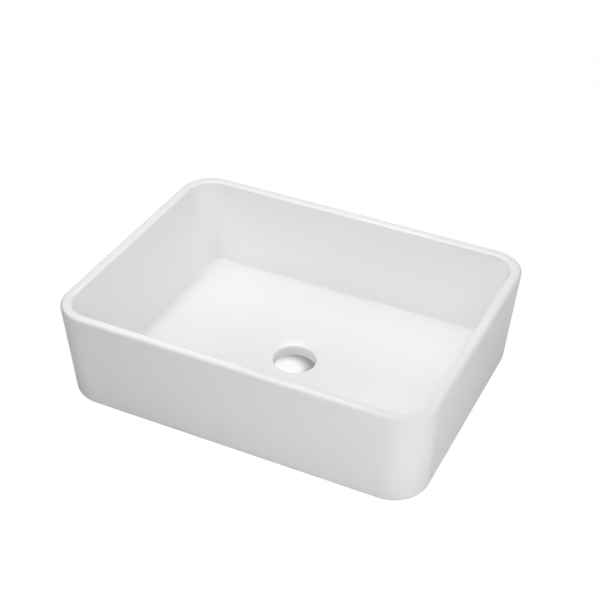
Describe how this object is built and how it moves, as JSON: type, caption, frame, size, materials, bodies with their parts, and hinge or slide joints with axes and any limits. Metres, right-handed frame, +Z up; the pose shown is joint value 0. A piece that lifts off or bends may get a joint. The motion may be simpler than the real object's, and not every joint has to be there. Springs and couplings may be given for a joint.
{
  "type": "countertop basin",
  "caption": "Rectangular white glazed countertop basin with a thin rounded rim, coved bowl and an open central waste hole, on soft foot pads.",
  "frame": {"origin": "centre of the footprint, on the worktop that the basin stands on", "axes": "+X along the long side, to the right seen from the front; -Y is the front, +Z is up out of the bowl"},
  "size_m": [0.45, 0.35, 0.125],
  "materials": {
    "white_glaze": "glossy white glaze, fired",
    "silicone": "soft, translucent, matt"
  },
  "bodies": {
    "root": {"basin_body": "white_glaze", "foot_pad_front_left": "silicone", "foot_pad_front_right": "silicone", "foot_pad_back_left": "silicone", "foot_pad_back_right": "silicone"}
  },
  "joints": []
}
